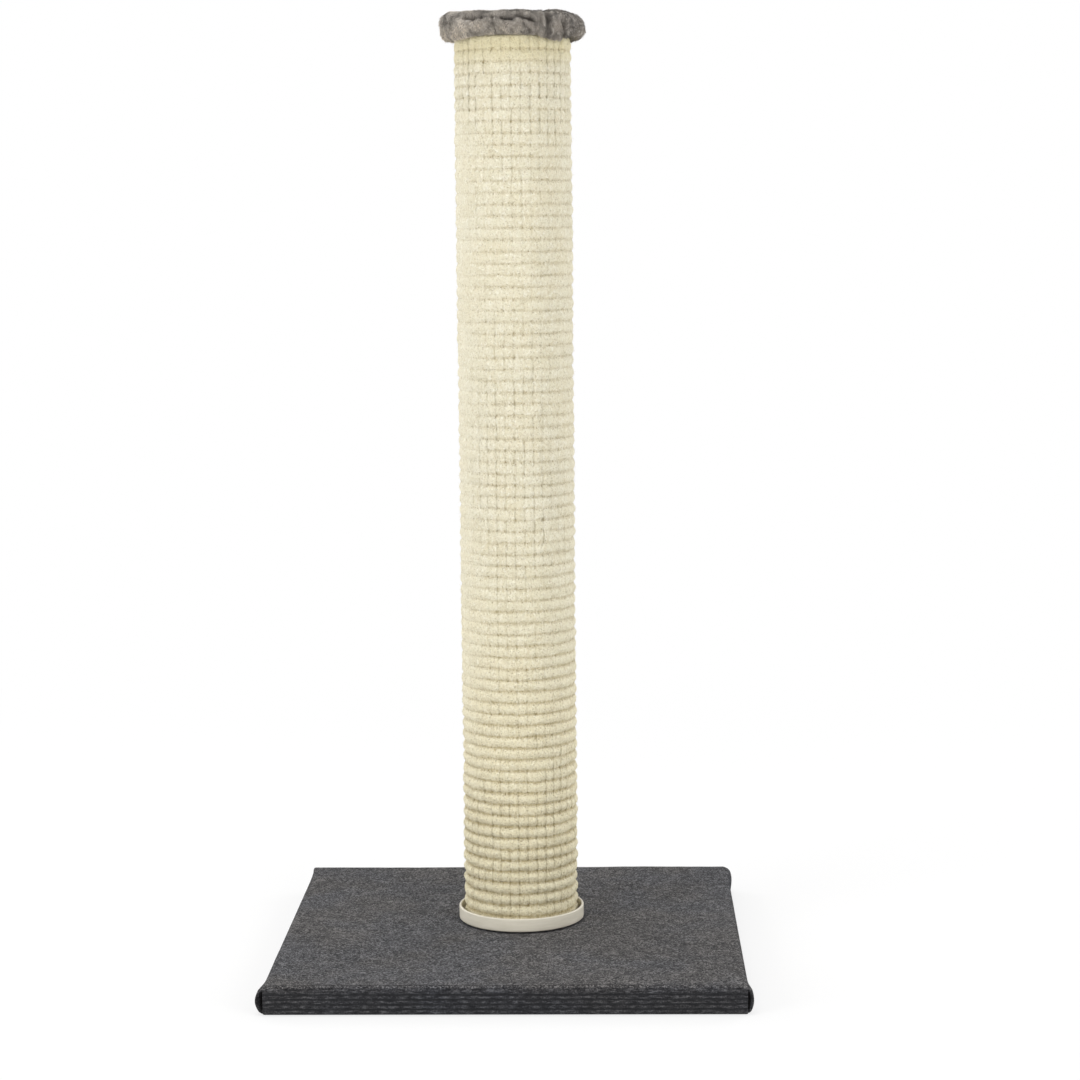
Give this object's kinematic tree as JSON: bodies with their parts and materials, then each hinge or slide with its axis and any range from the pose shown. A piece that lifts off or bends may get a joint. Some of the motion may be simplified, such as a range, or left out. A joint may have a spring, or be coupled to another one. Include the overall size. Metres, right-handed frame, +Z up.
{
  "type": "cat scratching post",
  "caption": "Free-standing cat scratching post: tube wrapped in woven sisal on a square carpeted base, with a plastic foot collar and a padded plush cap.",
  "frame": {"origin": "middle of the underside of the base, on the floor", "axes": "+Z up along the post, front towards -Y, +X to the right seen from the front"},
  "size_m": [0.4068, 0.4, 0.8229],
  "materials": {
    "pressed_wood": "pressed chip board, sanded, unpainted",
    "ribbed_carpet": "ribbed needle-punched carpet, charcoal, matt",
    "staple_steel": "galvanised wire",
    "ivory_plastic": "moulded, ivory, satin",
    "zinc_steel": "zinc plated, satin",
    "turned_wood": "turned softwood, unpainted",
    "cardboard_tube": "wound brown board",
    "woven_sisal": "woven looped sisal, natural cream",
    "foam": "open-cell foam sheet",
    "plush": "short plush, taupe grey"
  },
  "bodies": {
    "root": {"base_board": "pressed_wood", "base_carpet": "ribbed_carpet", "base_staples": "staple_steel", "base_collar": "ivory_plastic", "foot_bolt": "zinc_steel", "foot_washer": "zinc_steel", "foot_plug": "turned_wood", "foot_tee_nut": "zinc_steel", "foot_plug_staples": "staple_steel", "post_tube": "cardboard_tube", "sisal_wrap": "woven_sisal", "head_plug": "turned_wood", "head_tee_nut": "zinc_steel", "head_plug_staples": "staple_steel", "cap_disc": "pressed_wood", "cap_bolt": "zinc_steel", "cap_pad": "foam", "cap_cover": "plush", "cap_staples": "staple_steel"}
  },
  "joints": []
}
